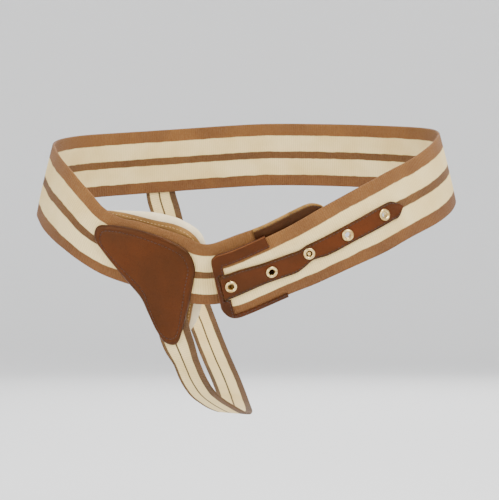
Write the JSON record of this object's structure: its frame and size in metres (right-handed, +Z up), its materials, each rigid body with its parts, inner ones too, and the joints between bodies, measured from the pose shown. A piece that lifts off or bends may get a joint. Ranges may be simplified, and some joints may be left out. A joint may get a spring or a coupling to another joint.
{
  "type": "hernia belt",
  "caption": "Worn hip belt of striped elastic webbing with a leather-faced pad over the right groin, a leg strap, and an eyelet closure that laps across the front",
  "frame": {"origin": "The middle of the wearer's hips, at the height where the band crosses the wearer's right hip; the belt keeps its worn form round it.", "axes": "+Z is up the wearer's body, -Y is the front that faces the viewer, +X is the wearer's left."},
  "size_m": [0.3481, 0.2591, 0.2469],
  "materials": {
    "webbing": "striped elastic weave, orange-brown and cream",
    "dark_leather": "semi-gloss",
    "strip_leather": "satin",
    "backing": "matte tan cloth",
    "cushion": "matte cream cloth",
    "brass": "polished"
  },
  "bodies": {
    "root": {"hip_band": "webbing", "leather_tip": "dark_leather", "hook_stud": "brass", "end_cap": "dark_leather", "eyelet_strip": "strip_leather", "eyelet_1": "brass", "eyelet_2": "brass", "eyelet_3": "brass", "eyelet_4": "brass", "eyelet_5": "brass", "leather_shield": "dark_leather", "pad_backing": "backing", "pad_cushion": "cushion", "leg_strap": "webbing"}
  },
  "joints": []
}
